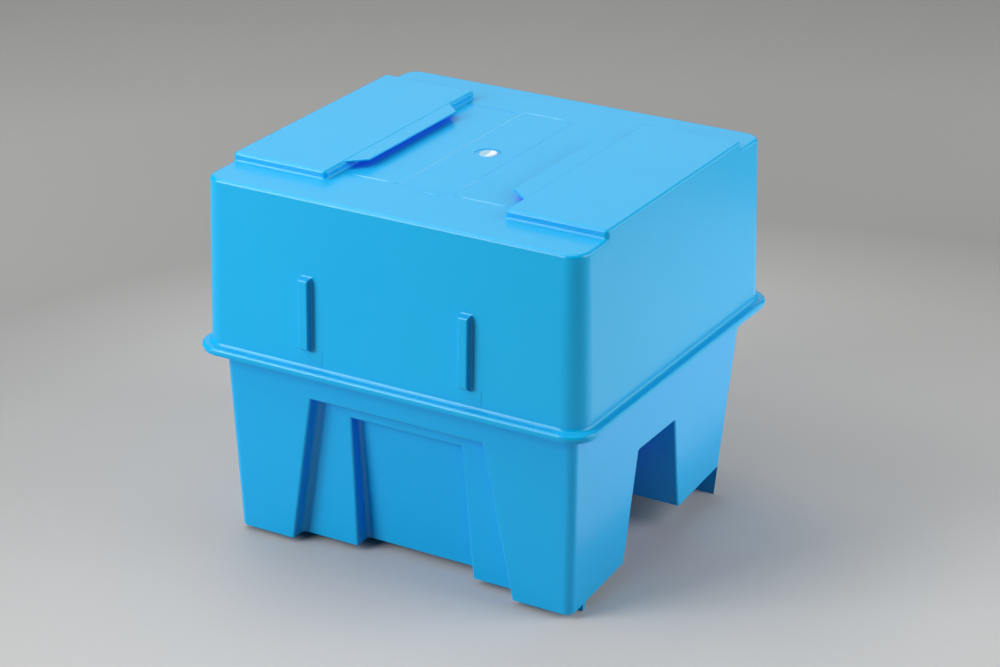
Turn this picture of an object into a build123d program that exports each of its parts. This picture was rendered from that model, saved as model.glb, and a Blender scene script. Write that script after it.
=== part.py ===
"""Specimen transport box: a moulded base tub with a deep lift-off lid.

Millimetres, +Z up, the floor at z = 0.  X runs across the wide front, the
front looks along -Y, and the lid is centred on X = Y = 0.  Inside, a sample
tray hangs from the tub's rim, with a slotted divider standing in it.
"""
import os
from math import cos, radians, tan

from build123d import *

os.makedirs("parts", exist_ok=True)

# ---------------------------------------------------------------- dimensions
# Lid moulding
LID_WIDTH = 250.0            # across X, at the top
LID_DEPTH = 228.8            # along Y, at the top
LID_HEIGHT = 107.5           # from the parting face to the top panel
LID_DRAFT = 1.535            # degrees, the walls widen downwards
LID_CORNER = 10.5            # upright corner radius, at the top
LID_EDGE = 2.4               # rounding of the top edge
LID_WALL = 3.0
LID_RIM_OUT = 5.2            # how far the rim stands out from the wall
LID_RIM_THICK = 3.0
LID_RIM_CORNER = 16.8
LID_RIM_EDGE = 1.9           # rounding of the rim's upper outer edge
LID_COVE = 2.4               # hollow rounding where the rim meets the wall

# Raised pads on the lid's top, and the lips that overhang the channel
PAD_HEIGHT = 5.5
PAD_LENGTH = 168.0           # along Y
CHANNEL_WIDTH = 119.0        # across X, between the pads
PAD_EDGE = 2.0
PAD_CORNER = 2.6             # upright corners of the pads at the channel
PAD_FOOT = 1.5
LIP_REACH_LEFT = 9.9
LIP_REACH_RIGHT = 12.1
LIP_THICK = 0.9
LIP_EDGE = 0.4
LIP_DROP = 0.25              # the lip lies this much below the pad's top
LIP_FRONT = 53.3             # the lip's straight edge, in front of the middle
LIP_BACK = 45.2              # and behind it
LIP_END = 9.5                # along Y, the slanted end of a lip

# Marks of the lid's mould: a middle panel, panel lines and the gate
MARK_SHIFT_X = -2.3          # the mould's insert sits a little off centre
MARK_SHIFT_Y = 4.5
PANEL_WIDTH = 35.4
PANEL_LENGTH = 145.0
PANEL_PROUD = 0.07
LINE_WIDTH = 0.5
LINE_PROUD = 0.12
NEAR_LINE_INSET = 0.2        # the side lines start this far inside the panel
FAR_LINE_INSET = 3.0
CROSS_LINE_WIDTH = 16.8      # the short line in front of the panel
CROSS_LINE_SHIFT = 5.1       # to the right of the panel's middle
CROSS_LINE_OUT = 4.2
GATE_X = -1.9
GATE_Y = 2.4
GATE_DISH = 16.4             # diameter of the dished ring round the gate
GATE_DISH_DEEP = 0.3
GATE_NUB = 10.6              # diameter of the cut-off gate

# Upright guide bars on the lid's front and back
BAR_SPACING = 107.0          # between the two bars' middles
BAR_WIDTH = 6.4
BAR_REACH = 4.7
BAR_TOP = 59.1               # from the parting face up to the bar's top
BAR_BOTTOM = 16.7
BAR_RAMP = 3.4               # how far the foot of the bar slants down
BAR_HEAD_RISE = 1.0          # the bar's head slants up into the wall
BAR_EDGE = 1.0
BAR_FOOT = 1.2
PATCH_WIDTH = 20.4           # the mould-insert mark under each bar
PATCH_PROUD = 0.15

# Base moulding
PARTING_HEIGHT = 124.1       # from the floor to the lid's parting face
PARTING_GAP = 0.3            # between the two rims, held by the seal
BASE_INSET = 8.65            # from the lid's wall in to the base's wall
BASE_WALL = 3.0
BASE_CORNER = 5.5
BASE_SIDE_DRAFT = 1.75       # degrees, the walls narrow downwards
BASE_FRONT_DRAFT = 2.3
BASE_BACK_DRAFT = 10.0
BASE_RIM_THICK = 1.4
BASE_RIM_BACKSET = 0.9       # the base's rim ends just inside the lid's rim
BASE_RIM_COVE = 1.2          # hollow rounding between wall and rim
COLLAR_HEIGHT = 8.0          # the collar that goes up inside the lid
COLLAR_WALL = 2.4
COLLAR_EDGE = 0.8
LID_CLEARANCE = 0.4          # between the collar and the lid's wall

# Sloping underside and feet
UNDERSIDE_FRONT = 3.4        # the underside's height at the front wall
UNDERSIDE_SLOPE = 4.76       # degrees, rising to the back
FOOT_THICK = 3.0
FOOT_BACKSET = 14.4          # from the front wall back to the front feet

# Hand tunnel, from side to side under the base
TUNNEL_HEIGHT = 77.9         # from the floor to the tunnel's roof
TUNNEL_ROOF_WIDTH = 46.8
TUNNEL_SIDE_SLOPE = 9.9      # degrees, the tunnel widens downwards
TUNNEL_MIDDLE = -3.3         # along Y
TUNNEL_EDGE = 1.4

# Two-step recess in the front wall, one step in the back wall
RECESS_TOP = 101.6           # height above the floor
RECESS_TOP_WIDTH = 117.2
RECESS_SIDE_SLOPE = 10.15    # degrees
RECESS_DEEP = 10.0
INNER_RECESS_TOP = 90.3
INNER_RECESS_LEFT = 37.0     # from the middle to the inner step's left side, at the top
INNER_RECESS_LEFT_SLOPE = -0.5   # this side slants inwards a little
INNER_RECESS_RIGHT = 38.3
INNER_RECESS_RIGHT_SLOPE = 3.75
INNER_RECESS_DEEP = 11.7     # beyond the outer step, at the floor
INNER_RECESS_LEAN = 2.6      # degrees, it gets shallower upwards
RECESS_EDGE = 1.6
RECESS_CORNER = 4.0          # hollow rounding between a step's sides and its floor
INNER_RECESS_CORNER = 2.6

# Seal in the lid's rim
SEAL_WIDTH = 3.2
SEAL_GROOVE_DEEP = 1.2
SEAL_CLEARANCE = 0.1

# Absorbent mats on the floors of the two wells
MAT_THICK = 4.0
MAT_CLEARANCE = 2.5          # between a mat and the walls round it
MAT_LIFT = 0.3               # between a mat and the floor under it

# Sample tray, hung from the ledge inside the base's collar
TRAY_FLOOR_CLEARANCE = 0.4   # above the tunnel's roof skin
TRAY_WALL = 2.5
TRAY_SIDE_CLEARANCE = 1.4    # to the tub's side walls
TRAY_DEPTH = 152.0           # along Y
TRAY_CORNER = 6.0
TRAY_LEDGE_CLEARANCE = 0.6   # to the collar
TRAY_GRIP_HEIGHT = 19.0      # above the tray's rim
TRAY_GRIP_LENGTH = 78.0
TRAY_GRIP_EDGE = 6.0         # above the finger slot
TRAY_GRIP_CORNER = 7.0
TRAY_EDGE = 0.8
GRIP_SLOT_LENGTH = 58.0
GRIP_SLOT_HEIGHT = 11.0
DRAIN_HOLE = 4.0

# Divider: strips slotted half way into each other
CELLS_ACROSS = 5             # along X
CELLS_DEEP = 3               # along Y
STRIP_THICK = 2.0
STRIP_HEIGHT = 50.0
STRIP_CLEARANCE = 0.3        # strip ends to the tray's walls
SLOT_CLEARANCE = 0.15        # on each side of a strip in its slot

# ---------------------------------------------------------------- worked out
LID_TOP_Z = PARTING_HEIGHT + LID_HEIGHT
PAD_TOP_Z = LID_TOP_Z + PAD_HEIGHT
LID_RIM_TOP_Z = PARTING_HEIGHT + LID_RIM_THICK
BASE_TOP_Z = PARTING_HEIGHT - PARTING_GAP
BASE_RIM_LOW_Z = BASE_TOP_Z - BASE_RIM_THICK
BEYOND = LID_WIDTH + LID_DEPTH             # further out than anything here
TOUCH = 0.05                               # places closer than this are the same


def lid_grow(z):
    """How far the lid's wall lies outside its top outline, at height z."""
    return (LID_TOP_Z - z) * tan(radians(LID_DRAFT))


def lid_block(low, high, outset=0.0):
    """The lid's tapering form between two heights, moved out by outset."""
    grow = lid_grow(low) + outset
    outline = RectangleRounded(LID_WIDTH + 2 * grow, LID_DEPTH + 2 * grow, LID_CORNER + grow)
    return extrude(Pos(0, 0, low) * outline, high - low, taper=LID_DRAFT)


def rim_plate(low, high, out):
    """Plate with upright sides that stands out from the wall at the parting face."""
    grow = lid_grow(PARTING_HEIGHT) + out
    corner = LID_RIM_CORNER - LID_RIM_OUT + out
    outline = RectangleRounded(LID_WIDTH + 2 * grow, LID_DEPTH + 2 * grow, corner)
    return extrude(Pos(0, 0, low) * outline, high - low)


def slab(low_x, high_x, low_y, high_y, low_z, high_z):
    """Box between two corners."""
    middle = ((low_x + high_x) / 2, (low_y + high_y) / 2, (low_z + high_z) / 2)
    return Pos(*middle) * Box(high_x - low_x, high_y - low_y, high_z - low_z)


def prism_along_x(points, low_x, high_x):
    """Prism with a (y, z) outline, between two X planes."""
    outline = make_face(Plane.YZ * Polyline(*points, close=True))
    return Pos(low_x, 0, 0) * extrude(outline, high_x - low_x, dir=(1, 0, 0))


def prism_along_y(points, low_y, high_y):
    """Prism with an (x, z) outline, between two Y planes."""
    wire = Polyline(*[(x, 0, z) for x, z in points], close=True)
    return Pos(0, low_y, 0) * extrude(make_face(wire), high_y - low_y, dir=(0, 1, 0))


def level_edges(form, z, keep):
    """Edges lying level at height z whose middle passes the keep test."""
    found = []
    for edge in form.edges():
        box = edge.bounding_box()
        if max(abs(box.min.Z - z), abs(box.max.Z - z)) < TOUCH and keep(edge.center()):
            found.append(edge)
    return found


def edges_between(form, test):
    """Edges of form with both ends where the test holds."""
    return [edge for edge in form.edges() if test(edge @ 0) and test(edge @ 1)]


def save(name, solid, colour):
    """Write one node's STEP file."""
    solid.label = name
    solid.color = Color(*colour)
    export_step(solid, f"parts/{name}.step")


BLUE = (0.26, 0.71, 0.91)
WHITE = (0.93, 0.94, 0.95)
GREY = (0.55, 0.57, 0.60)


# ------------------------------------------------------------------ lid cover
def pad_region(inset, low, high, side):
    """Space of one pad out to past the lid's wall, on one side (-1 or 1)."""
    near = CHANNEL_WIDTH / 2 + inset
    far = BEYOND / 2
    outline = RectangleRounded(far - near, PAD_LENGTH - 2 * inset, PAD_CORNER)
    return extrude(Pos(side * (near + far) / 2, 0, low) * outline, high - low)


def guide_bar(x, side):
    """One upright bar, side -1 on the front wall and 1 on the back wall."""
    top = PARTING_HEIGHT + BAR_TOP
    low = PARTING_HEIGHT + BAR_BOTTOM

    def wall(z):
        return LID_DEPTH / 2 + lid_grow(z)

    points = [(side * (wall(top) - LID_WALL), top + BAR_HEAD_RISE),
              (side * (wall(top) + BAR_REACH), top),
              (side * (wall(low) + BAR_REACH), low),
              (side * wall(low), low - BAR_RAMP),
              (side * (wall(low) - LID_WALL), low - BAR_RAMP)]
    bar = prism_along_x(points, x - BAR_WIDTH / 2, x + BAR_WIDTH / 2)
    reach = wall(low) + BAR_REACH / 2
    outer = [edge for edge in bar.edges() if side * edge.center().Y > reach]
    return fillet(outer, BAR_EDGE)


def lip(side, reach):
    """Thin plate from a pad's inner edge out over the channel."""
    inner = CHANNEL_WIDTH / 2
    root = inner + PAD_EDGE
    edge = inner - reach
    slant = LIP_END * (root - edge) / reach
    points = [(side * root, -LIP_FRONT - slant), (side * edge, -LIP_FRONT),
              (side * edge, LIP_BACK), (side * root, LIP_BACK + slant)]
    plan = make_face(Polyline(*points, close=True))
    plate = Pos(0, 0, PAD_TOP_Z - LIP_DROP - LIP_THICK) * extrude(plan, LIP_THICK)
    return fillet(level_edges(plate, PAD_TOP_Z - LIP_DROP, lambda c: abs(c.X) < root - TOUCH),
                  LIP_EDGE)


def make_lid():
    # walls, top panel and pads in one full form
    form = lid_block(LID_RIM_TOP_Z, PAD_TOP_Z)
    above_top = slab(-BEYOND, BEYOND, -BEYOND, BEYOND, LID_TOP_Z, PAD_TOP_Z + 1)
    for side in (-1, 1):
        above_top -= pad_region(0, LID_TOP_Z, PAD_TOP_Z + 1, side)
    form -= above_top

    # rounded foot of the pads, then the top edges of lid and pads
    pad_end = PAD_LENGTH / 2 + PAD_FOOT
    form = fillet(level_edges(form, LID_TOP_Z, lambda c: abs(c.Y) < pad_end
                              and abs(c.X) < LID_WIDTH / 2 - LID_CORNER), PAD_FOOT)
    form = fillet(level_edges(form, LID_TOP_Z, lambda c: abs(c.Y) > LID_DEPTH / 2 - LID_CORNER
                              or abs(c.X) > LID_WIDTH / 2 - LID_CORNER), LID_EDGE)
    form = fillet(level_edges(form, PAD_TOP_Z, lambda c: True), PAD_EDGE)

    # rim round the mouth, with a rounded outer edge and a cove to the wall
    rim = rim_plate(PARTING_HEIGHT, LID_RIM_TOP_Z, LID_RIM_OUT)
    rim = fillet(level_edges(rim, LID_RIM_TOP_Z, lambda c: True), LID_RIM_EDGE)
    form += rim
    wall_x = LID_WIDTH / 2 + lid_grow(LID_RIM_TOP_Z) + 1
    wall_y = LID_DEPTH / 2 + lid_grow(LID_RIM_TOP_Z) + 1
    form = fillet(level_edges(form, LID_RIM_TOP_Z, lambda c: abs(c.X) < wall_x
                              and abs(c.Y) < wall_y), LID_COVE)

    # guide bars, and the mould-insert mark under each
    patch_low = LID_RIM_TOP_Z + LID_COVE + 1
    patch_high = PARTING_HEIGHT + BAR_BOTTOM - BAR_RAMP / 2
    skin = lid_block(patch_low, patch_high, PATCH_PROUD)
    bar_reach = (BAR_SPACING + BAR_WIDTH) / 2 + TOUCH
    for x in (-BAR_SPACING / 2, BAR_SPACING / 2):
        for side in (-1, 1):
            form += guide_bar(x, side)
    form = fillet(edges_between(form, lambda p: abs(p.X) < bar_reach and abs(
        abs(p.Y) - LID_DEPTH / 2 - lid_grow(p.Z)) < TOUCH), BAR_FOOT)
    for x in (-BAR_SPACING / 2, BAR_SPACING / 2):
        for side in (-1, 1):
            front, back = sorted((0, side * BEYOND))
            form += skin & slab(x - PATCH_WIDTH / 2, x + PATCH_WIDTH / 2,
                                front, back, patch_low, patch_high)

    # lips over the channel
    form += lip(-1, LIP_REACH_LEFT)
    form += lip(1, LIP_REACH_RIGHT)

    # marks of the mould in the channel
    form += mould_marks()
    form -= Pos(GATE_X, GATE_Y, LID_TOP_Z + PANEL_PROUD) * Cylinder(
        GATE_DISH / 2, 2 * GATE_DISH_DEEP)
    form += Pos(GATE_X, GATE_Y, LID_TOP_Z - GATE_DISH_DEEP) * Cone(
        GATE_NUB / 2, GATE_NUB / 2 - GATE_DISH_DEEP, 2 * GATE_DISH_DEEP)

    # hollow inside, with a pocket under each pad
    form -= lid_block(PARTING_HEIGHT - 1, LID_TOP_Z - LID_WALL, -LID_WALL)
    pocket = lid_block(LID_TOP_Z - 2 * LID_WALL, PAD_TOP_Z - LID_WALL, -LID_WALL)
    for side in (-1, 1):
        form -= pocket & pad_region(LID_WALL, LID_TOP_Z - 2 * LID_WALL, PAD_TOP_Z, side)

    # groove for the seal
    form -= seal_ring(PARTING_HEIGHT - 1, PARTING_HEIGHT + SEAL_GROOVE_DEEP, SEAL_CLEARANCE)
    return form


def mould_marks():
    """Thin raised marks that the mould's insert leaves on the top panel."""
    half_width = PANEL_WIDTH / 2
    half_length = PANEL_LENGTH / 2
    marks = slab(-half_width, half_width, -half_length, half_length, -1, PANEL_PROUD)
    reach = CHANNEL_WIDTH / 2 - PAD_FOOT - abs(MARK_SHIFT_X)
    near = NEAR_LINE_INSET - half_length
    far = half_length - FAR_LINE_INSET
    for side, y in ((-1, near), (1, near), (-1, far)):
        ends = sorted((side * (half_width + LINE_WIDTH), side * reach))
        marks += slab(*ends, y - LINE_WIDTH / 2, y + LINE_WIDTH / 2, -1, LINE_PROUD)
    cross = -half_length - CROSS_LINE_OUT
    marks += slab(CROSS_LINE_SHIFT - CROSS_LINE_WIDTH / 2, CROSS_LINE_SHIFT + CROSS_LINE_WIDTH / 2,
                  cross - LINE_WIDTH / 2, cross + LINE_WIDTH / 2, -1, LINE_PROUD)
    return Pos(MARK_SHIFT_X, MARK_SHIFT_Y, LID_TOP_Z) * marks


# ----------------------------------------------------------------------- seal
def seal_ring(low, high, grow=0.0):
    """Ring in the middle of the lid's rim, made wider by grow on each side."""
    middle = (LID_RIM_OUT - LID_WALL) / 2
    outer = rim_plate(low, high, middle + SEAL_WIDTH / 2 + grow)
    return outer - rim_plate(low, high, middle - SEAL_WIDTH / 2 - grow)


def make_seal():
    return seal_ring(BASE_TOP_Z, PARTING_HEIGHT + SEAL_GROOVE_DEEP)


# ------------------------------------------------------------------- base tub
BASE_HALF_WIDTH = LID_WIDTH / 2 + lid_grow(PARTING_HEIGHT) - BASE_INSET
BASE_HALF_DEPTH = LID_DEPTH / 2 + lid_grow(PARTING_HEIGHT) - BASE_INSET


def side_wall(z):
    """Half width of the base at height z."""
    return BASE_HALF_WIDTH - (PARTING_HEIGHT - z) * tan(radians(BASE_SIDE_DRAFT))


def front_wall(z):
    return -BASE_HALF_DEPTH + (PARTING_HEIGHT - z) * tan(radians(BASE_FRONT_DRAFT))


def back_wall(z):
    return BASE_HALF_DEPTH - (PARTING_HEIGHT - z) * tan(radians(BASE_BACK_DRAFT))


def underside(y):
    """Height of the sloping underside."""
    return UNDERSIDE_FRONT + (y - front_wall(UNDERSIDE_FRONT)) * tan(radians(UNDERSIDE_SLOPE))


def base_form(inset, top):
    """The base's outer form from the floor up, drawn in by inset."""
    along = prism_along_x([(front_wall(0) + inset, 0), (back_wall(0) - inset, 0),
                           (back_wall(top) - inset, top), (front_wall(top) + inset, top)],
                          -BEYOND, BEYOND)
    across = prism_along_y([(inset - side_wall(0), 0), (side_wall(0) - inset, 0),
                            (side_wall(top) - inset, top), (inset - side_wall(top), top)],
                           -BEYOND, BEYOND)
    form = along & across
    upright = [edge for edge in form.edges() if edge.bounding_box().size.Z > top - TOUCH]
    return fillet(upright, max(BASE_CORNER - inset, BASE_WALL / 2))


def below_underside(lift):
    """All space below the sloping underside, raised by lift."""
    rise = lift / cos(radians(UNDERSIDE_SLOPE))
    return prism_along_x([(-BEYOND, underside(-BEYOND) + rise), (BEYOND, underside(BEYOND) + rise),
                          (BEYOND, -BEYOND), (-BEYOND, -BEYOND)], -BEYOND, BEYOND)


def tunnel_space(grow):
    """The hand tunnel, made larger all round by grow."""
    slope = tan(radians(TUNNEL_SIDE_SLOPE))
    roof = TUNNEL_HEIGHT + grow
    half = TUNNEL_ROOF_WIDTH / 2 + grow - grow * slope
    half_low = half + (roof + 1) * slope
    return prism_along_x([(TUNNEL_MIDDLE - half, roof), (TUNNEL_MIDDLE + half, roof),
                          (TUNNEL_MIDDLE + half_low, -1), (TUNNEL_MIDDLE - half_low, -1)],
                         -BEYOND, BEYOND)


OUTER_SIDE = (RECESS_TOP_WIDTH / 2, RECESS_SIDE_SLOPE)
INNER_LEFT = (INNER_RECESS_LEFT, INNER_RECESS_LEFT_SLOPE)
INNER_RIGHT = (INNER_RECESS_RIGHT, INNER_RECESS_RIGHT_SLOPE)


def recess_step(wall, side, top, left, right, deep, grow, lean=0.0, corner=RECESS_CORNER):
    """One step of a recess in the front (side -1) or back (side 1) wall.

    Left and right each give the distance from the middle at the top, and the slope.
    """
    roof = top + grow
    ends = []
    for reach, slope in (left, right):
        spread = tan(radians(slope))
        half = reach + grow - grow * spread
        ends.append((half, half + (roof + 1) * spread))
    (left_top, left_low), (right_top, right_low) = ends
    if side < 0:
        low_y, high_y = -BEYOND, 0
    else:
        low_y, high_y = 0, BEYOND
    opening = prism_along_y([(-left_top, roof), (right_top, roof), (right_low, -1),
                             (-left_low, -1)], low_y, high_y)
    floor = deep + grow
    floor_top = floor - roof * tan(radians(lean))
    outside = prism_along_x([(wall(-1) - side * floor, -1), (wall(roof) - side * floor_top, roof),
                             (side * BEYOND, roof), (side * BEYOND, -1)], -BEYOND, BEYOND)
    step = opening & outside
    inner_face = step.faces().sort_by(Axis.Y)[-1 if side < 0 else 0]
    corners = [edge for edge in inner_face.edges() if edge.bounding_box().size.Z > roof / 2]
    return fillet(corners, corner + grow)


def recess_space(grow):
    """Both recesses, made larger by grow."""
    space = recess_step(front_wall, -1, RECESS_TOP, OUTER_SIDE, OUTER_SIDE, RECESS_DEEP, grow)
    space += recess_step(front_wall, -1, INNER_RECESS_TOP, INNER_LEFT, INNER_RIGHT,
                         RECESS_DEEP + INNER_RECESS_DEEP, grow, INNER_RECESS_LEAN,
                         INNER_RECESS_CORNER)
    space += recess_step(back_wall, 1, RECESS_TOP, OUTER_SIDE, OUTER_SIDE, RECESS_DEEP, grow)
    return space


def round_recess(form, wall, side, deep, reach, radius):
    """Round the mouth of a recess step that is cut deep mm below a wall's face."""
    return fillet(edges_between(form, lambda p: abs(p.X) < reach and abs(
        p.Y - wall(p.Z) + side * deep) < TOUCH), radius)


def make_base():
    shell = base_form(0, BASE_TOP_Z) - below_underside(0)
    shell -= tunnel_space(0)

    # feet: a short rib on each side of the recess, and the back wall carried down
    outer_reach = RECESS_TOP_WIDTH / 2 + RECESS_TOP * tan(radians(RECESS_SIDE_SLOPE))
    form = base_form(0, BASE_TOP_Z)
    rib_front = front_wall(0) + FOOT_BACKSET
    rib_back = rib_front + FOOT_THICK
    rib = slab(-BEYOND, BEYOND, rib_front, rib_back, 0, underside(rib_front) + BASE_WALL / 2)
    rib -= slab(-outer_reach - BASE_WALL, outer_reach + BASE_WALL, rib_front, rib_back, 0, BEYOND)
    apron_top = underside(back_wall(0)) + BASE_WALL / 2
    apron = prism_along_x([(back_wall(0), 0), (back_wall(apron_top), apron_top),
                           (back_wall(apron_top) - FOOT_THICK, apron_top),
                           (back_wall(0) - FOOT_THICK, 0)], -BEYOND, BEYOND)
    shell += form & rib
    shell += form & apron
    shell -= recess_space(0)

    # rounded mouths of the recesses and the tunnel
    inner_reach = (INNER_RECESS_RIGHT
                   + INNER_RECESS_TOP * tan(radians(INNER_RECESS_RIGHT_SLOPE)))
    tunnel_reach = TUNNEL_ROOF_WIDTH / 2 + TUNNEL_HEIGHT * tan(radians(TUNNEL_SIDE_SLOPE))
    shell = round_recess(shell, front_wall, -1, 0, outer_reach, RECESS_EDGE)
    shell = round_recess(shell, front_wall, -1, RECESS_DEEP, inner_reach, RECESS_EDGE)
    shell = round_recess(shell, back_wall, 1, 0, outer_reach, RECESS_EDGE)
    shell = fillet(edges_between(shell, lambda p: abs(p.Y - TUNNEL_MIDDLE) < tunnel_reach
                                 and abs(abs(p.X) - side_wall(p.Z)) < TOUCH), TUNNEL_EDGE)

    # rim under the lid's rim, and the collar inside the lid
    shell += rim_plate(BASE_RIM_LOW_Z, BASE_TOP_Z, LID_RIM_OUT - BASE_RIM_BACKSET)
    wall_x = side_wall(BASE_RIM_LOW_Z) + 1
    wall_y = BASE_HALF_DEPTH + 1
    shell = fillet(level_edges(shell, BASE_RIM_LOW_Z, lambda c: abs(c.X) < wall_x
                               and abs(c.Y) < wall_y), BASE_RIM_COVE)
    collar_out = -LID_WALL - LID_CLEARANCE
    collar_top = BASE_TOP_Z + COLLAR_HEIGHT
    collar = (lid_block(BASE_TOP_Z, collar_top, collar_out)
              - lid_block(BASE_TOP_Z, collar_top, collar_out - COLLAR_WALL))
    shell += fillet(level_edges(collar, collar_top, lambda c: True), COLLAR_EDGE)

    # hollow inside
    hollow = base_form(BASE_WALL, BASE_TOP_Z) - below_underside(BASE_WALL)
    hollow -= tunnel_space(BASE_WALL)
    hollow -= recess_space(BASE_WALL)
    return shell - hollow


# --------------------------------------------------------------- well mats
def make_mats():
    gap = BASE_WALL + MAT_CLEARANCE
    low = BASE_WALL + MAT_LIFT
    mats = base_form(gap, BASE_TOP_Z) - below_underside(low)
    mats &= below_underside(low + MAT_THICK)
    mats -= tunnel_space(gap)
    mats -= recess_space(gap)
    front = mats & slab(-BEYOND, BEYOND, -BEYOND, TUNNEL_MIDDLE, 0, BASE_TOP_Z)
    rear = mats & slab(-BEYOND, BEYOND, TUNNEL_MIDDLE, BEYOND, 0, BASE_TOP_Z)
    return front, rear


# ---------------------------------------------------------------- sample tray
TRAY_FLOOR_Z = TUNNEL_HEIGHT + BASE_WALL + TRAY_FLOOR_CLEARANCE
TRAY_HALF_WIDTH = side_wall(TRAY_FLOOR_Z) - BASE_WALL - TRAY_SIDE_CLEARANCE
TRAY_IN_WIDTH = 2 * (TRAY_HALF_WIDTH - TRAY_WALL)
TRAY_IN_DEPTH = TRAY_DEPTH - 2 * TRAY_WALL
CELL_WIDTH = TRAY_IN_WIDTH / CELLS_ACROSS
CELL_DEPTH = TRAY_IN_DEPTH / CELLS_DEEP


def cell_places(count, pitch):
    """Middles of a row of cells, centred on zero."""
    return [(i - (count - 1) / 2) * pitch for i in range(count)]


def make_tray():
    tray_top = BASE_TOP_Z + TRAY_WALL
    wall_plan = RectangleRounded(2 * TRAY_HALF_WIDTH, TRAY_DEPTH, TRAY_CORNER)
    tray = Pos(0, 0, TRAY_FLOOR_Z) * extrude(wall_plan, tray_top - TRAY_FLOOR_Z)

    # rim that hangs on the ledge inside the base's collar
    rim_half = (BASE_HALF_WIDTH + BASE_INSET - LID_WALL - LID_CLEARANCE - COLLAR_WALL
                - TRAY_LEDGE_CLEARANCE)
    rim_plan = RectangleRounded(2 * rim_half, TRAY_DEPTH + 2 * TRAY_WALL, TRAY_CORNER)
    rim = Pos(0, 0, BASE_TOP_Z) * extrude(rim_plan, TRAY_WALL)
    tray += fillet(level_edges(rim, tray_top, lambda c: True), TRAY_EDGE)

    # grips: the end walls carried up, each with a finger slot
    grip_low = TRAY_FLOOR_Z + TRAY_CORNER
    grip_high = tray_top + TRAY_GRIP_HEIGHT
    grip_middle = (grip_low + grip_high) / 2
    slot_z = grip_high - TRAY_GRIP_EDGE - GRIP_SLOT_HEIGHT / 2
    grip_plan = Plane.YZ * RectangleRounded(TRAY_GRIP_LENGTH, grip_high - grip_low,
                                            TRAY_GRIP_CORNER)
    grip_plan -= Plane.YZ * Pos(0, slot_z - grip_middle) * SlotOverall(GRIP_SLOT_LENGTH,
                                                                       GRIP_SLOT_HEIGHT)
    grip = extrude(grip_plan, TRAY_WALL, dir=(1, 0, 0))
    grip = fillet(grip.edges().filter_by_position(Axis.X, -TOUCH, TOUCH), TRAY_EDGE)
    grip = fillet(grip.edges().filter_by_position(Axis.X, TRAY_WALL - TOUCH, TRAY_WALL + TOUCH),
                  TRAY_EDGE)
    for x in (-TRAY_HALF_WIDTH, TRAY_HALF_WIDTH - TRAY_WALL):
        tray += Pos(x, 0, grip_middle) * grip

    # hollow inside, and a drain hole in the middle of each cell
    in_plan = RectangleRounded(TRAY_IN_WIDTH, TRAY_IN_DEPTH, TRAY_CORNER - TRAY_WALL)
    tray -= Pos(0, 0, TRAY_FLOOR_Z + TRAY_WALL) * extrude(in_plan, BEYOND)
    for x in cell_places(CELLS_ACROSS, CELL_WIDTH):
        for y in cell_places(CELLS_DEEP, CELL_DEPTH):
            tray -= Pos(x, y, TRAY_FLOOR_Z + TRAY_WALL / 2) * Cylinder(DRAIN_HOLE / 2, 2 * TRAY_WALL)
    return tray


# -------------------------------------------------------------------- divider
def strip(length, slot_places, open_side):
    """One upright strip along X, slotted half its height from its top (1) or foot (-1)."""
    low = TRAY_FLOOR_Z + TRAY_WALL
    body = slab(-length / 2, length / 2, -STRIP_THICK / 2, STRIP_THICK / 2,
                low, low + STRIP_HEIGHT)
    half_slot = STRIP_THICK / 2 + SLOT_CLEARANCE
    middle = low + STRIP_HEIGHT / 2
    ends = sorted((middle, middle + open_side * STRIP_HEIGHT))
    for x in slot_places:
        body -= slab(x - half_slot, x + half_slot, -STRIP_THICK, STRIP_THICK, *ends)
    return body


def make_divider():
    long_rows = cell_places(CELLS_DEEP - 1, CELL_DEPTH)
    short_rows = cell_places(CELLS_ACROSS - 1, CELL_WIDTH)
    long_strip = strip(TRAY_IN_WIDTH - 2 * STRIP_CLEARANCE, short_rows, 1)
    short_strip = strip(TRAY_IN_DEPTH - 2 * STRIP_CLEARANCE, long_rows, -1)
    long_set = Compound(children=[Pos(0, y, 0) * long_strip for y in long_rows])
    turned = Rot(0, 0, 90) * short_strip
    short_set = Compound(children=[Pos(x, 0, 0) * turned for x in short_rows])
    return long_set, short_set


# ----------------------------------------------------------------------- save
def main():
    save("lid_cover", make_lid(), BLUE)
    save("rim_seal", make_seal(), GREY)
    save("base_tub", make_base(), BLUE)
    front_mat, rear_mat = make_mats()
    save("absorbent_mat_front", front_mat, WHITE)
    save("absorbent_mat_rear", rear_mat, WHITE)
    save("sample_tray", make_tray(), WHITE)
    long_set, short_set = make_divider()
    save("divider_long_strips", long_set, WHITE)
    save("divider_short_strips", short_set, WHITE)


if __name__ == "__main__":
    main()
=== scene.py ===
import bpy
import bmesh
import math
from mathutils import Matrix, Vector, noise
from mathutils.bvhtree import BVHTree


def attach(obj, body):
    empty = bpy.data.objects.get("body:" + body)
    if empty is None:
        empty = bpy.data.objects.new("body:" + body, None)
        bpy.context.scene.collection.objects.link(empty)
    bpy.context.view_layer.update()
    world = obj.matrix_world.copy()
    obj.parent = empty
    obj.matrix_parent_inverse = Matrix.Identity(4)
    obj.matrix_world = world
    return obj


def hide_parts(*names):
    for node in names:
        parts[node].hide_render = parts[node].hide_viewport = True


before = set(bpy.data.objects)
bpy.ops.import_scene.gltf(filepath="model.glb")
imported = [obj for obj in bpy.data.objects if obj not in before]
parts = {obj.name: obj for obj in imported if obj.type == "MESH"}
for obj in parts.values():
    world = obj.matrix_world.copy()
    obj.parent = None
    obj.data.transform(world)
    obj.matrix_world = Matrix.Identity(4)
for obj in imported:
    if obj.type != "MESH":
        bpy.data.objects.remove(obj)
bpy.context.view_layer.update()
scene = bpy.context.scene
scene.view_settings.view_transform = "Standard"

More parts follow.
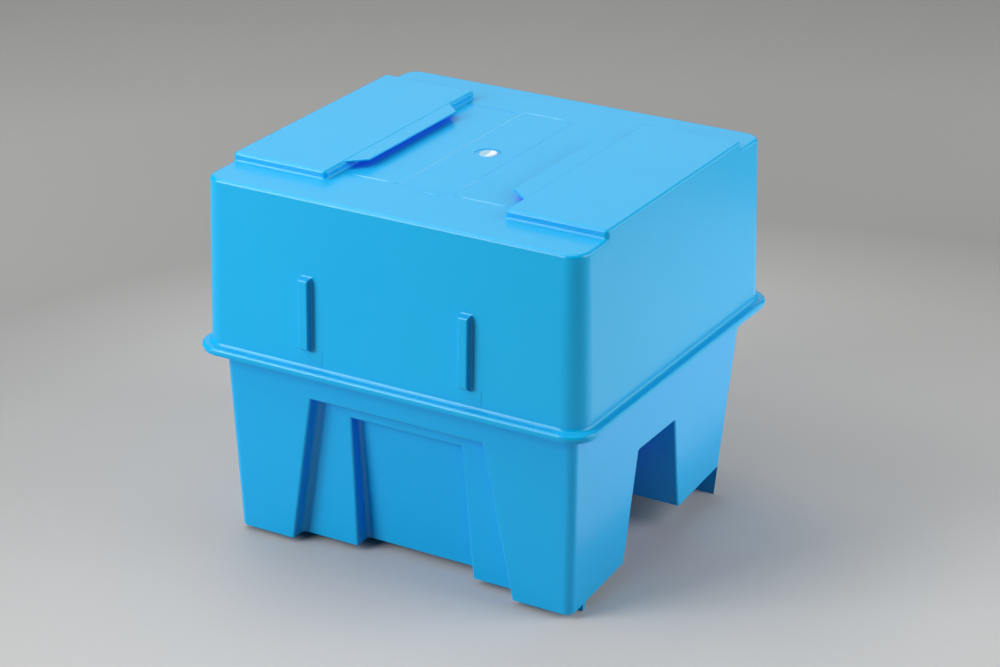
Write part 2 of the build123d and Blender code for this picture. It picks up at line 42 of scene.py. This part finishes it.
# ------------------------------------------------------------------ camera
# Long lens, a little above the box and round to its right front corner.
camera_side = 30.111
camera_rise = 23.694
camera_roll = 0.100
camera_away = 1.719
looked_at = Vector((0.0011, 0.0117, 0.1123))


def toward(side, rise):
    """Direction from the box to what is seen under side and rise, in degrees."""
    turn, lift = math.radians(side), math.radians(rise)
    return Vector((math.sin(turn) * math.cos(lift), -math.cos(turn) * math.cos(lift),
                   math.sin(lift)))


camera_data = bpy.data.cameras.new("camera")
camera_data.lens = 101.23
camera_data.sensor_width = 36.0
camera = bpy.data.objects.new("camera", camera_data)
scene.collection.objects.link(camera)
back = toward(camera_side, camera_rise)
turned = (back.to_track_quat("Z", "Y").to_matrix().to_4x4()
          @ Matrix.Rotation(math.radians(camera_roll), 4, "Z"))
camera.matrix_world = Matrix.Translation(looked_at + camera_away * back) @ turned
scene.camera = camera

# ------------------------------------------------------------------ studio floor
# Seamless sheet of matt grey paper: flat under the box and swept up all round far away, so that no
# edge or horizon shows. Its tone is painted darker away from the box, a painted falloff of the
# lamps' light.
flat_rings = (0.0, 0.6, 1.7, 3.4)
sweep_radius = 2.2
sweep_height = 2.6
sweep_steps = 24
floor_turns = 96

# painted light falloff: share of the paper's tone kept at each distance from its painted brightest
# place, in metres
painted_light_middle = (0.20, -0.10, 0.0)
painted_falloff_shares = [(0.0, 1.0), (0.15, 0.97), (0.38, 0.89), (0.53, 0.80), (0.68, 0.60), (1.0, 0.73)]
# the far sweep's painted glow, seen by the camera only, starts and is full at these distances
glow_starts, glow_full, glow_strength = 1.4, 3.6, 0.22


def new_material(name):
    """Empty node material: its shader, and helpers that add a node and link a socket."""
    material = bpy.data.materials.new(name)
    material.use_nodes = True
    tree = material.node_tree

    def add(kind, inputs=None, **settings):
        made = tree.nodes.new(kind)
        for key, value in settings.items():
            setattr(made, key, value)
        for key, value in (inputs or {}).items():
            if isinstance(value, bpy.types.NodeSocket):
                tree.links.new(value, made.inputs[key])
            else:
                made.inputs[key].default_value = value
        return made

    def join(output, socket):
        tree.links.new(output, socket)

    return material, tree.nodes["Principled BSDF"], add, join


def two_tone(add, share, dark, light):
    """Colour between a dark and a light tone, by a share from 0 to 1."""
    mix = add("ShaderNodeMix", {"Factor": share, "A": (*dark, 1), "B": (*light, 1)},
              data_type="RGBA")
    return mix.outputs["Result"]


def skin(shape, rings):
    """Faces between rings of points, of which the first may be a single point."""
    faces = []
    for inner, outer in zip(rings, rings[1:]):
        for k in range(len(outer)):
            after = (k + 1) % len(outer)
            if len(inner) == 1:
                corners = (inner[0], outer[k], outer[after])
            else:
                corners = (inner[k], outer[k], outer[after], inner[after])
            faces.append(shape.faces.new(corners))
    return faces


def new_piece(name, shape):
    """Object made from a finished shape and linked to the scene."""
    mesh = bpy.data.meshes.new(name)
    shape.to_mesh(mesh)
    shape.free()
    piece = bpy.data.objects.new(name, mesh)
    scene.collection.objects.link(piece)
    return piece


profile = [(radius, 0.0) for radius in flat_rings]
for step in range(1, sweep_steps + 1):
    angle = step / sweep_steps * math.pi / 2
    profile.append((flat_rings[-1] + sweep_radius * math.sin(angle),
                    sweep_height * (1 - math.cos(angle))))
paper_shape = bmesh.new()
rings = []
for radius, height in profile:
    turns = [2 * math.pi * k / floor_turns for k in range(floor_turns)] if radius else [0.0]
    rings.append([paper_shape.verts.new((radius * math.cos(turn), radius * math.sin(turn), height))
                  for turn in turns])
for face in skin(paper_shape, rings):
    face.smooth = True
floor = new_piece("studio_floor", paper_shape)

paper, shader, add, join = new_material("grey_paper")
where = add("ShaderNodeTexCoord").outputs["Object"]
cloud = add("ShaderNodeTexNoise", {"Vector": where, "Scale": 1.3, "Detail": 2.0})
tone = two_tone(add, cloud.outputs["Fac"], (0.520, 0.515, 0.505), (0.545, 0.540, 0.532))
# painted shade: the paper is darkened by its distance from the painted brightest place
away = add("ShaderNodeVectorMath", {0: where, 1: painted_light_middle}, operation="DISTANCE")
painted_falloff_ramp = add("ShaderNodeValToRGB", {"Fac": away.outputs["Value"]})
stops = painted_falloff_ramp.color_ramp.elements
stops[0].position, stops[1].position = painted_falloff_shares[0][0], painted_falloff_shares[-1][0]
for distance, _ in painted_falloff_shares[1:-1]:
    stops.new(distance)
for stop, (_, share) in zip(stops, painted_falloff_shares):
    stop.color = (share, share, share, 1)
painted_falloff_tone = add("ShaderNodeMix", {"Factor": 1.0, "A": tone, "B": painted_falloff_ramp.outputs["Color"]},
            data_type="RGBA", blend_type="MULTIPLY")
join(painted_falloff_tone.outputs["Result"], shader.inputs["Base Color"])

# painted light: the far sweep, which the lamps don't reach, glows to the camera alone so that it
# stays pale on every side
seen = add("ShaderNodeLightPath").outputs["Is Camera Ray"]
far = add("ShaderNodeMapRange", {"Value": away.outputs["Value"], "From Min": glow_starts,
                                 "From Max": glow_full, "To Min": 0.0, "To Max": glow_strength})
painted_light = add("ShaderNodeMath", {0: seen, 1: far.outputs["Result"]}, operation="MULTIPLY")
join(painted_light.outputs["Value"], shader.inputs["Emission Strength"])
shader.inputs["Emission Color"].default_value = (1.0, 0.99, 0.97, 1)
shader.inputs["Roughness"].default_value = 0.9
shader.inputs["Specular IOR Level"].default_value = 0.2
floor.data.materials.append(paper)

# ------------------------------------------------------------------ studio light
# An arch of small soft boxes from low at the left front over the top to the back gives
# the pale lines along the rounded edges. Two at the right light the side, and a wide
# dim panel far behind shows as a pale sheen on level faces. The room itself is dark.
lamp_aim = Vector((0, 0, 0.12))
reflector_height = 0.004


def soft_box(name, side, rise, away, size, watts):
    """Square area lamp seen from the box under side and rise, in degrees."""
    lamp = bpy.data.lights.new(name, "AREA")
    lamp.shape = "RECTANGLE"
    lamp.size, lamp.size_y = size
    lamp.energy = watts
    made = bpy.data.objects.new(name, lamp)
    scene.collection.objects.link(made)
    made.location = lamp_aim + away * toward(side, rise)
    made.rotation_euler = toward(side, rise).to_track_quat("Z", "Y").to_euler()
    return made


for name, side, rise, away, size, watts in (
        ("left_light", 325, 22, 1.6, (0.8, 0.8), 19.5),
        ("left_overhead_light", 309, 54, 1.6, (0.8, 0.8), 8.0),
        ("back_overhead_light", 239, 58, 1.6, (0.8, 0.8), 5.7),
        ("overhead_light", 0, 89.9, 1.6, (0.8, 0.8), 4.6),
        ("right_light", 105, 26, 1.6, (0.9, 1.3), 16.0),
        ("far_right_light", 135, 14, 1.6, (0.9, 0.7), 4.0),
        ("back_panel", 205, 27, 2.3, (2.2, 1.2), 6.3)):
    soft_box(name, side, rise, away, size, watts)

# low white reflector that lies on the floor off the right rear corner and faces up
reflector = soft_box("right_reflector", 130, 0.1, 0.42, (0.34, 0.62), 0.39)
reflector.location.z = reflector_height
reflector.rotation_euler = (math.pi, 0, 0)
reflector.visible_camera = False

room = bpy.data.worlds.new("room")
scene.world = room
room.use_nodes = True
room.node_tree.nodes["Background"].inputs["Strength"].default_value = 0.0

# ------------------------------------------------------------------ lid cover
# Deep lift-off lid, injection moulded in one piece of light blue polypropylene:
# tapered walls, two raised pads with thin lips over the channel between them, upright
# guide bars on the walls and a rounded rim round the mouth.
# painted shade: the deeper blue painted into hollows and undercuts
painted_shade_blue = (0.0, 0.24, 1.0)


def moulded_blue(name, light, dark, painted_shade_reach, painted_shade_full_at, painted_shade_gone_at):
    """Glossy moulded polypropylene: flow clouding, painted deeper blue shade in its hollows, faint
    waviness and rubbed gloss.
    """
    material, shader, add, join = new_material(name)
    where = add("ShaderNodeTexCoord").outputs["Object"]
    cloud = add("ShaderNodeTexNoise", {"Vector": where, "Scale": 14.0, "Detail": 3.0,
                                       "Roughness": 0.45})
    tone = two_tone(add, cloud.outputs["Fac"], dark, light)

    # painted shade: hollows and undercuts, found by ambient occlusion within the reach, are
    # painted a deeper blue where shade falls in them
    shade_occlusion = add("ShaderNodeAmbientOcclusion", {"Distance": painted_shade_reach},
                 only_local=True, samples=6)
    unshaded_share = add("ShaderNodeMapRange", {"Value": shade_occlusion.outputs["AO"], "From Min": painted_shade_full_at,
                                          "From Max": painted_shade_gone_at})
    painted_light = add("ShaderNodeMix", {"Factor": unshaded_share.outputs["Result"], "A": (*painted_shade_blue, 1),
                                 "B": tone}, data_type="RGBA")
    join(painted_light.outputs["Result"], shader.inputs["Base Color"])

    rubbed = add("ShaderNodeTexNoise", {"Vector": where, "Scale": 45.0, "Detail": 6.0,
                                        "Roughness": 0.6})
    gloss = add("ShaderNodeMapRange", {"Value": rubbed.outputs["Fac"], "From Min": 0.3,
                                       "From Max": 0.7, "To Min": 0.22, "To Max": 0.27})
    join(gloss.outputs["Result"], shader.inputs["Roughness"])

    wave = add("ShaderNodeTexNoise", {"Vector": where, "Scale": 22.0, "Detail": 1.0})
    wavy = add("ShaderNodeBump", {"Height": wave.outputs["Fac"], "Strength": 0.1,
                                  "Distance": 0.0012})
    grain = add("ShaderNodeTexNoise", {"Vector": where, "Scale": 900.0, "Detail": 2.0})
    fine = add("ShaderNodeBump", {"Height": grain.outputs["Fac"], "Strength": 0.02,
                                  "Distance": 0.0002, "Normal": wavy.outputs["Normal"]})
    join(fine.outputs["Normal"], shader.inputs["Normal"])
    shader.inputs["IOR"].default_value = 1.49
    shader.inputs["Specular IOR Level"].default_value = 0.35
    shader.inputs["Sheen Weight"].default_value = 0.04
    shader.inputs["Sheen Roughness"].default_value = 0.5
    return material


def dress(part, material):
    """Gives a solid of the box its one material."""
    part.data.materials.clear()
    part.data.materials.append(material)


# the lid's hollows get painted deeper blue shade
dress(parts["lid_cover"], moulded_blue(
    "lid_blue_plastic", light=(0.0, 0.425, 0.800), dark=(0.0, 0.415, 0.785),
    painted_shade_reach=0.06, painted_shade_full_at=0.10, painted_shade_gone_at=0.55))

# ------------------------------------------------------------------ base tub
# Standing tub moulded in the same polypropylene: stepped recesses in front and back, a
# hand tunnel from side to side, a sloping underside on thin ribs, and a collar for the
# lid, which sits on it by its own weight.
# the tub's recesses and tunnel get painted deeper blue shade
dress(parts["base_tub"], moulded_blue(
    "base_blue_plastic", light=(0.0, 0.400, 0.800), dark=(0.0, 0.390, 0.785),
    painted_shade_reach=0.12, painted_shade_full_at=0.30, painted_shade_gone_at=0.70))

# ------------------------------------------------------------------ mould flash lines
# Hair-thin ridges on the lid's channel where the mould's insert meets the main plate.
# Each is a low rounded bead of the lid's own plastic, coloured paler as a painted highlight along
# the ridge.
channel_height = 0.2316
bead_sides = 6
bead_spacing = 0.003
bead_taper = 0.009      # length over which a bead grows from its tip
bead_tip = 0.2          # share of its full size at the tip

# width, height and corner points of each bead
flash_runs = [
    # left edge of the insert, its far left corner and its far edge
    (0.00058, 0.00024, [(-0.0199, -0.0678), (-0.0200, 0.0710), (-0.0198, 0.0742),
                        (-0.0177, 0.0765), (-0.0050, 0.0769), (0.0115, 0.0766)]),
    # near edge, from the left pad over the insert to the right pad
    (0.00060, 0.00024, [(-0.0560, -0.0678), (-0.0200, -0.0678)]),
    (0.00048, 0.00020, [(-0.0056, -0.0722), (0.0112, -0.0722)]),
    (0.00056, 0.00022, [(0.0146, -0.0678), (0.0560, -0.0678)]),
    # the insert's right edge and the far left line hardly show
    (0.00034, 0.00009, [(0.0149, -0.0690), (0.0158, -0.0300)]),
    (0.00034, 0.00009, [(-0.0560, 0.0740), (-0.0205, 0.0740)]),
]

beads = bmesh.new()
for width, height, corners in flash_runs:
    points = []
    for start, end in zip(corners, corners[1:]):
        start, end = Vector((*start, channel_height)), Vector((*end, channel_height))
        steps = max(2, round((end - start).length / bead_spacing))
        points += [start.lerp(end, k / steps) for k in range(steps)]
    points.append(end)
    rows = []
    for k, here in enumerate(points):
        before, after = points[max(k - 1, 0)], points[min(k + 1, len(points) - 1)]
        along = (after - before).normalized()
        across = Vector((-along.y, along.x, 0)) * width / 2
        to_tip = min(k, len(points) - 1 - k) * bead_spacing
        size = min(1.0, bead_tip + (1 - bead_tip) * to_tip / bead_taper)
        row = []
        for j in range(bead_sides + 1):
            angle = math.pi * j / bead_sides
            up = Vector((0, 0, math.sin(angle) * height))
            row.append(beads.verts.new(here + size * (across * math.cos(angle) + up)))
        rows.append(row)
    for one, two in zip(rows, rows[1:]):
        for j in range(bead_sides):
            beads.faces.new((one[j], one[j + 1], two[j + 1], two[j])).smooth = True
    beads.faces.new(list(reversed(rows[0])))
    beads.faces.new(rows[-1])
bmesh.ops.recalc_face_normals(beads, faces=beads.faces)
flash = new_piece("mould_flash_lines", beads)

# painted highlight: the beads are coloured paler than the lid
flash_highlight_paint, shader, add, join = new_material("flash_blue_painted_highlight")
where = add("ShaderNodeTexCoord").outputs["Object"]
patchy = add("ShaderNodeTexNoise", {"Vector": where, "Scale": 160.0, "Detail": 2.0})
tone = two_tone(add, patchy.outputs["Fac"], (0.12, 0.58, 0.90), (0.26, 0.70, 0.95))
join(tone, shader.inputs["Base Color"])
shader.inputs["Roughness"].default_value = 0.3
flash.data.materials.append(flash_highlight_paint)
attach(flash, "lid")

# ------------------------------------------------------------------ gate scar
# Where the plastic entered the mould the sprue is twisted off: a shallow round scar in a dished
# ring, torn up to a low ridge on one side. That side is painted white as a painted highlight, and
# the other pale grey-blue as a painted reflection.
gate_place = (-0.0019, 0.0024, channel_height - 0.0001)
gate_radius = 0.0052
gate_rings = 7
gate_points = 40
gate_lobes = ((0.03, 3, 0.7), (0.02, 7, 0.0))   # size, count and turn of its outline's waves
scar_low = 0.00025
ridge_at, ridge_wide, ridge_high = 0.10, 0.10, 0.00035
wedge_rise = 0.00075
torn_grain, torn_high = 1400, 0.00007
torn_x, torn_y = 0.89, 0.12
painted_highlight_from = 0.0004
foot_spread, foot_deep = 1.07, 0.0006
mark_shade = 0.9


def to_torn_side(x, y):
    """Distance toward the side that tore, which lies at the right."""
    return x * torn_x + y * torn_y


def scar_height(x, y):
    """Height of the scar's skin: low on the left, a torn wedge on the right."""
    wedge = to_torn_side(x, y) / gate_radius
    ridge = max(0.0, 1 - abs(wedge - ridge_at) / ridge_wide) * ridge_high
    torn = noise.noise(Vector((x, y, 0)) * torn_grain) * torn_high
    return scar_low + ridge + max(0.0, wedge) * wedge_rise + torn


scar = bmesh.new()
rings = [[scar.verts.new((0, 0, scar_height(0, 0)))]]
for ring in range(1, gate_rings + 1):
    rings.append([])
    for k in range(gate_points):
        turn = 2 * math.pi * k / gate_points
        radius = gate_radius * ring / gate_rings * (
            1 + sum(size * math.sin(count * turn + start) for size, count, start in gate_lobes))
        x, y = radius * math.cos(turn), radius * math.sin(turn)
        rings[-1].append(scar.verts.new((x, y, scar_height(x, y))))
foot = [scar.verts.new((edge.co.x * foot_spread, edge.co.y * foot_spread, -foot_deep))
        for edge in rings[-1]]
# the torn side takes the white painted highlight, the rest the pale painted reflection
for face in skin(scar, rings + [foot]):
    middle = face.calc_center_median()
    face.material_index = 0 if to_torn_side(middle.x, middle.y) > painted_highlight_from else 1
scar.faces.new(list(reversed(foot))).material_index = 1
bmesh.ops.recalc_face_normals(scar, faces=scar.faces)
gate = new_piece("gate_scar", scar)
gate.location = gate_place


def painted_gate_plastic(name, colour, roughness):
    """Gate plastic in the given painted highlight or painted reflection colour, with fine blade
    marks.
    """
    material, shader, add, join = new_material(name)
    where = add("ShaderNodeTexCoord").outputs["Object"]
    marks = add("ShaderNodeTexWave", {"Vector": where, "Scale": 900.0, "Distortion": 4.0})
    darker = [value * mark_shade for value in colour]
    join(two_tone(add, marks.outputs["Fac"], darker, colour), shader.inputs["Base Color"])
    cut = add("ShaderNodeBump", {"Height": marks.outputs["Fac"], "Strength": 0.3,
                                 "Distance": 0.0001})
    join(cut.outputs["Normal"], shader.inputs["Normal"])
    shader.inputs["Roughness"].default_value = roughness
    return material


# white painted highlight on the torn side, pale grey-blue painted reflection on the other
gate.data.materials.append(painted_gate_plastic("gate_cut_painted_highlight", (0.86, 0.93, 0.97), roughness=0.35))
gate.data.materials.append(painted_gate_plastic("gate_skin_painted_reflection", (0.36, 0.62, 0.78), roughness=0.4))
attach(gate, "lid")

# ------------------------------------------------------------------ rim seal
# Soft grey rubber cord of flat section, pressed into the groove under the lid's rim.
# It closes the thin gap between the two rims.
rubber, shader, add, join = new_material("grey_seal_rubber")
where = add("ShaderNodeTexCoord").outputs["Object"]
dust = add("ShaderNodeTexNoise", {"Vector": where, "Scale": 220.0, "Detail": 4.0})
tone = two_tone(add, dust.outputs["Fac"], (0.085, 0.092, 0.100), (0.130, 0.137, 0.145))
join(tone, shader.inputs["Base Color"])
dusty = add("ShaderNodeBump", {"Height": dust.outputs["Fac"], "Strength": 0.3,
                               "Distance": 0.0001})
join(dusty.outputs["Normal"], shader.inputs["Normal"])
shader.inputs["Roughness"].default_value = 0.6
dress(parts["rim_seal"], rubber)

# ------------------------------------------------------------------ sample tray
# Lift-out tray moulded in white satin polypropylene. It hangs on the base's ledge and
# has a grip at each end and drain holes in its floor.
gloss_spread = 0.04


def satin_white(name, light, dark, roughness):
    """White moulded plastic with a fine spark-eroded texture and faint clouding."""
    material, shader, add, join = new_material(name)
    where = add("ShaderNodeTexCoord").outputs["Object"]
    cloud = add("ShaderNodeTexNoise", {"Vector": where, "Scale": 18.0, "Detail": 3.0})
    join(two_tone(add, cloud.outputs["Fac"], dark, light), shader.inputs["Base Color"])
    grain = add("ShaderNodeTexNoise", {"Vector": where, "Scale": 1400.0, "Detail": 2.0})
    texture = add("ShaderNodeBump", {"Height": grain.outputs["Fac"], "Strength": 0.25,
                                     "Distance": 0.0001})
    join(texture.outputs["Normal"], shader.inputs["Normal"])
    gloss = add("ShaderNodeMapRange", {"Value": cloud.outputs["Fac"], "From Min": 0.3,
                                       "From Max": 0.7, "To Min": roughness - gloss_spread,
                                       "To Max": roughness + gloss_spread})
    join(gloss.outputs["Result"], shader.inputs["Roughness"])
    return material


dress(parts["sample_tray"], satin_white("white_tray_plastic", light=(0.80, 0.82, 0.83),
                                        dark=(0.76, 0.78, 0.80), roughness=0.42))

# ------------------------------------------------------------------ divider strips
# Six strips of 2 mm white polypropylene sheet, slotted half way into each other, that
# part the tray into cells for upright containers.
strip_plastic = satin_white("white_strip_sheet", light=(0.72, 0.77, 0.80),
                            dark=(0.68, 0.73, 0.77), roughness=0.34)
for name in ("divider_long_strips", "divider_short_strips"):
    dress(parts[name], strip_plastic)

# ------------------------------------------------------------------ absorbent mats
# Loose pads on the floors of the two wells: wadding between two sheets of white
# non-woven, embossed with a grid of dimples and pressed thin along the edge.
mat_voxel = 0.0011
mat_slope = math.radians(4.76)      # of the wells' floors
level_normal = 0.5                  # above this a face of the plain mat is no edge wall
edge_band = 0.0065                  # width of the strip that thins toward the edge
edge_thick = 0.38                   # share of the thickness left at the edge
dimple_pitch = 0.0072
dimple_deep = 0.00055
dimple_fade = 1.4                   # how fast the dimples set in beside the edge
waver_grain, waver_high = 60, 0.00025
top_sunk = 0.0002
smoothings, smooth_share = 2, 0.5


def well_mat(name, node):
    """Embossed pad in the space of its node, rounded and pressed thin at its edge."""
    solid = parts[node]
    plain = bpy.data.objects.new(name, solid.data.copy())
    scene.collection.objects.link(plain)
    remesh = plain.modifiers.new("even", "REMESH")
    remesh.mode = "VOXEL"
    remesh.voxel_size = mat_voxel
    bpy.context.view_layer.update()
    solved = plain.evaluated_get(bpy.context.evaluated_depsgraph_get())
    mesh = bpy.data.meshes.new_from_object(solved)
    plain.modifiers.clear()
    plain.data = mesh

    # edge walls of the node, for how far a point lies from the mat's edge
    walls = bmesh.new()
    walls.from_mesh(solid.data)
    flat = [face for face in walls.faces if abs(face.normal.z) > level_normal]
    bmesh.ops.delete(walls, geom=flat, context="FACES")
    near_wall = BVHTree.FromBMesh(walls)
    walls.free()

    # height of each point over the sloping floor, and how far inside the edge it is
    shaped = bmesh.new()
    shaped.from_mesh(mesh)
    upward = Vector((0, -math.sin(mat_slope), math.cos(mat_slope)))
    places = []
    for vertex in shaped.verts:
        distance = near_wall.find_nearest(vertex.co)[3]
        places.append((min(distance / edge_band, 1.0), upward.dot(vertex.co)))
    low = min(level for _, level in places)
    thick = max(level for _, level in places) - low

    for vertex, (inward, level) in zip(shaped.verts, places):
        share = (level - low) / thick
        crown = edge_thick + (1 - edge_thick) * math.sin(inward * math.pi / 2)
        wanted = low + thick * share * crown
        if share > 0.5:
            u, v = (place / dimple_pitch * math.pi for place in vertex.co.xy)
            dimple = (0.5 + 0.5 * math.cos(u + v)) * (0.5 + 0.5 * math.cos(u - v))
            waver = noise.noise(vertex.co * waver_grain) * waver_high
            wanted -= (dimple_deep * dimple - waver) * min(inward * dimple_fade, 1.0) + top_sunk
        vertex.co += upward * (wanted - level)
    for _ in range(smoothings):
        bmesh.ops.smooth_vert(shaped, verts=shaped.verts, factor=smooth_share,
                              use_axis_x=True, use_axis_y=True, use_axis_z=True)
    for face in shaped.faces:
        face.smooth = True
    shaped.to_mesh(mesh)
    shaped.free()
    mesh.materials.clear()
    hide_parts(node)
    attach(plain, "base")
    return plain


wadding, shader, add, join = new_material("embossed_non_woven")
where = add("ShaderNodeTexCoord").outputs["Object"]
fibres = add("ShaderNodeTexNoise", {"Vector": where, "Scale": 700.0, "Detail": 6.0,
                                    "Roughness": 0.7, "Distortion": 1.5})
tone = two_tone(add, fibres.outputs["Fac"], (0.66, 0.67, 0.66), (0.84, 0.84, 0.82))
join(tone, shader.inputs["Base Color"])
fuzz = add("ShaderNodeBump", {"Height": fibres.outputs["Fac"], "Strength": 0.6,
                              "Distance": 0.0003})
join(fuzz.outputs["Normal"], shader.inputs["Normal"])
shader.inputs["Roughness"].default_value = 0.95
shader.inputs["Sheen Weight"].default_value = 0.25
shader.inputs["Specular IOR Level"].default_value = 0.2
for name, node in (("front_mat", "absorbent_mat_front"), ("rear_mat", "absorbent_mat_rear")):
    well_mat(name, node).data.materials.append(wadding)
